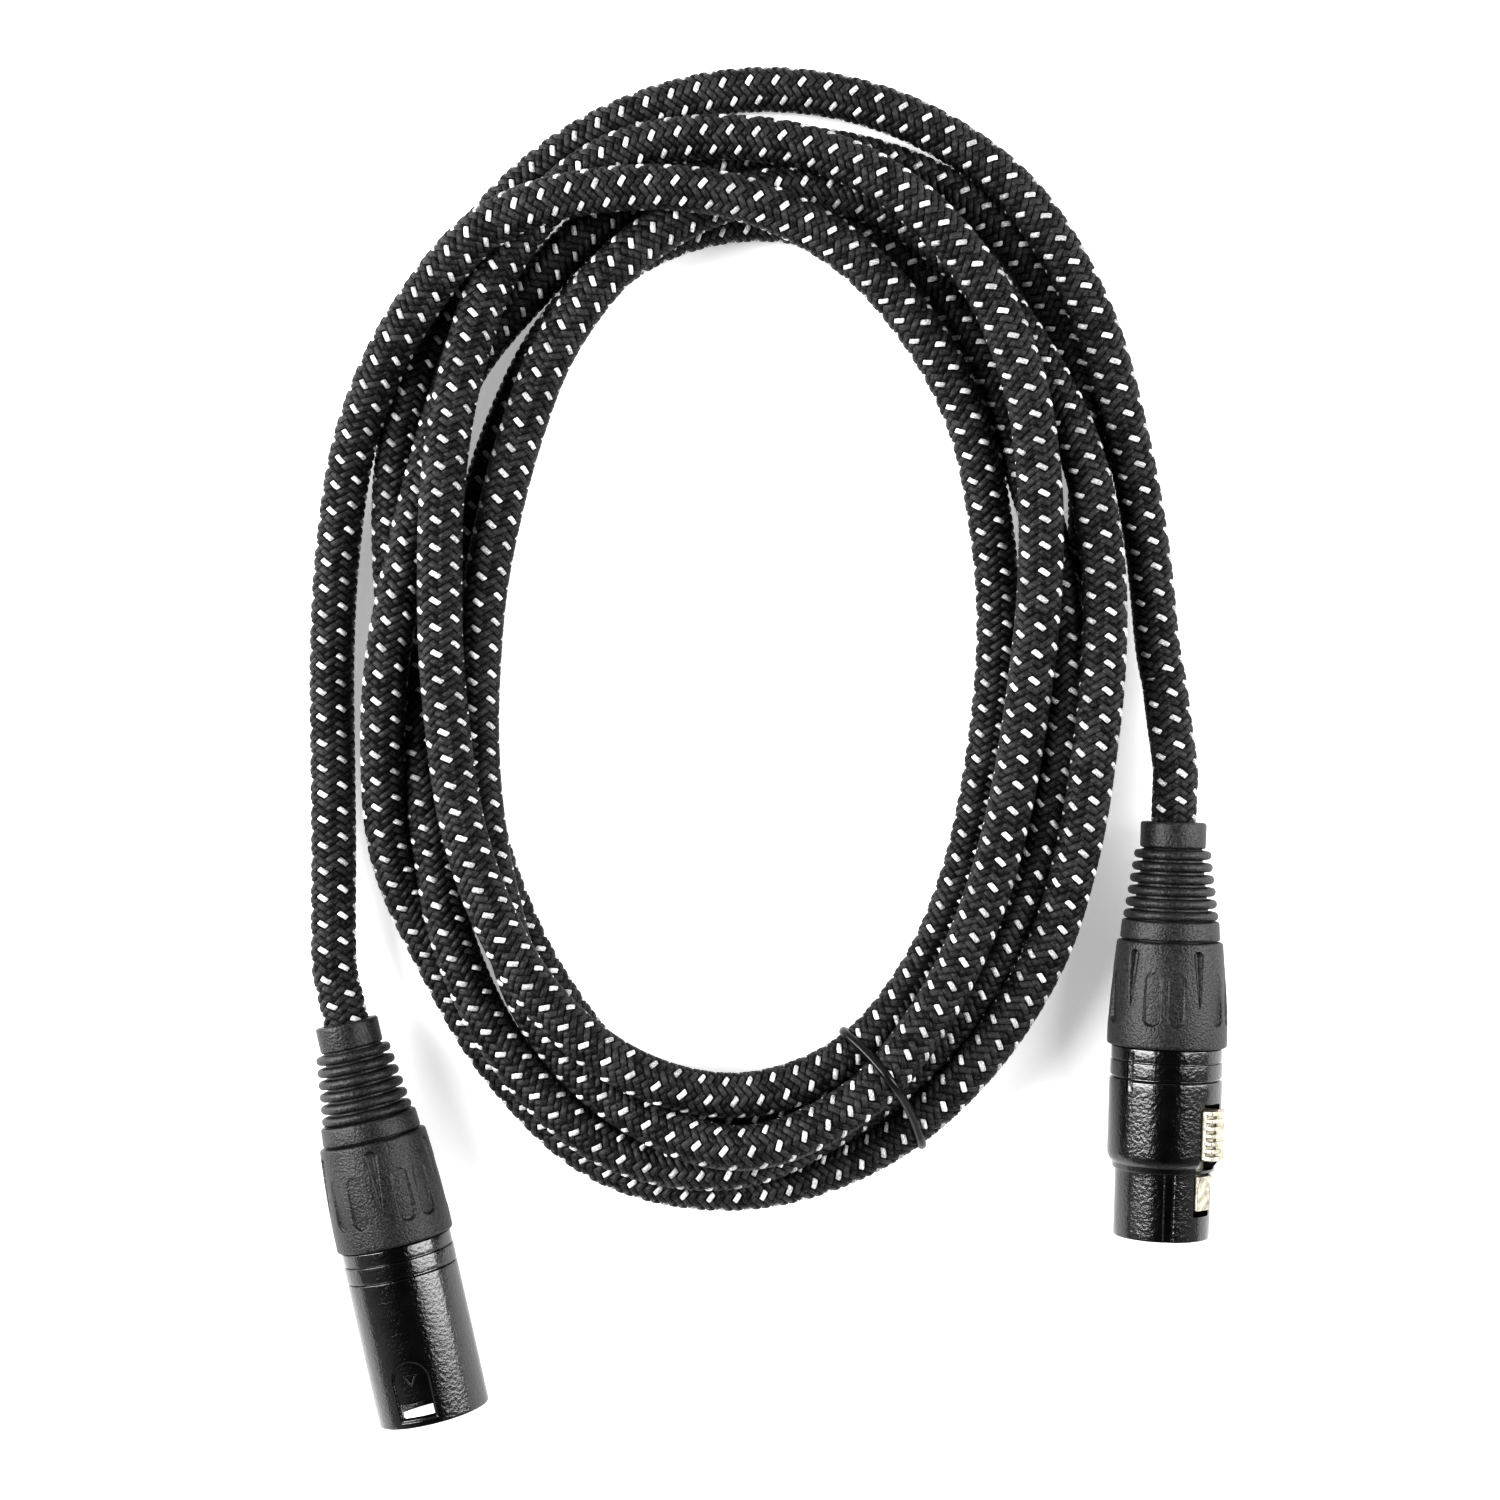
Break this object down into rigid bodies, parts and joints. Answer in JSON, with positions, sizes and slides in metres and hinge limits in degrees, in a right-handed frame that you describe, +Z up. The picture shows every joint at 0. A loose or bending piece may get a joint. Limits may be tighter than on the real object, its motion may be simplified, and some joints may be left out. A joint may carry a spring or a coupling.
{
  "type": "coiled microphone cable",
  "caption": "Braided microphone cable coiled in a tall oval and tied, with a male and a female three-contact circular plug, screw-on boots and a press latch.",
  "frame": {"origin": "centre of the whole object's footprint, on the surface it lies on", "axes": "+Z up from the surface; +Y along the coil's long direction, away from the plugs; +X to the female plug's side"},
  "size_m": [0.1562, 0.2306, 0.0203],
  "materials": {
    "braid": "matte braided yarn with white tracer yarns",
    "tie_nylon": "smooth nylon",
    "boot_rubber": "matte, fine grain",
    "sleeve_plastic": "matte, fine grain",
    "shell_paint": "glossy black with a fine orange peel",
    "insert_plastic": "satin",
    "chuck_plastic": "satin",
    "latch_metal": "pale gold, satin",
    "steel": "satin",
    "contact_silver": "silver plated",
    "contact_brass": "gold flash",
    "wire_bare": "bare tinned drain wire",
    "wire_red": "satin insulation",
    "wire_white": "satin insulation"
  },
  "bodies": {
    "cable": {"cable_coil": "braid", "cable_tail_male": "braid", "cable_tail_female": "braid", "cable_tie": "tie_nylon", "male_shell": "shell_paint", "male_insert": "insert_plastic", "male_chuck": "chuck_plastic", "male_pin_1": "contact_silver", "male_pin_2": "contact_silver", "male_pin_3": "contact_silver", "male_wire_1": "wire_bare", "male_wire_2": "wire_red", "male_wire_3": "wire_white", "female_shell": "shell_paint", "female_insert": "insert_plastic", "female_chuck": "chuck_plastic", "female_contact_1": "contact_brass", "female_contact_2": "contact_brass", "female_contact_3": "contact_brass", "female_wire_1": "wire_bare", "female_wire_2": "wire_red", "female_wire_3": "wire_white", "latch_pin": "steel", "latch_spring": "steel"},
    "male_boot": {"male_boot": "boot_rubber"},
    "male_sleeve": {"male_sleeve": "sleeve_plastic"},
    "female_boot": {"female_boot": "boot_rubber"},
    "female_sleeve": {"female_sleeve": "sleeve_plastic"},
    "latch": {"latch_lever": "latch_metal"}
  },
  "joints": [
    {"name": "male_boot_slide", "type": "slide", "parent": "cable", "child": "male_boot", "axis": [-0.2198, 0.9755, 0], "range_m": [0, 0.006]},
    {"name": "male_sleeve_turn", "type": "hinge", "parent": "male_boot", "child": "male_sleeve", "pos_m": [-0.06512, -0.07474, 0.0102], "axis": [0.2198, -0.9755, 0], "range_deg": [0, 1440]},
    {"name": "female_boot_slide", "type": "slide", "parent": "cable", "child": "female_boot", "axis": [0.0314, 0.9995, 0], "range_m": [0, 0.006]},
    {"name": "female_sleeve_turn", "type": "hinge", "parent": "female_boot", "child": "female_sleeve", "pos_m": [0.06799, -0.04149, 0.0102], "axis": [-0.0314, -0.9995, 0], "range_deg": [0, 1440]},
    {"name": "latch_press", "type": "hinge", "parent": "cable", "child": "latch", "pos_m": [0.07185, -0.05811, 0.01415], "axis": [0.6688, -0.021, -0.7431], "range_deg": [0, 5], "stiffness_Nm_per_rad": 0.03, "springref_deg": -14.32}
  ],
  "couplings": [
    {"joint": "male_sleeve_turn", "follows": "male_boot_slide", "rad_per_m": 4188.8},
    {"joint": "female_sleeve_turn", "follows": "female_boot_slide", "rad_per_m": 4188.8}
  ]
}
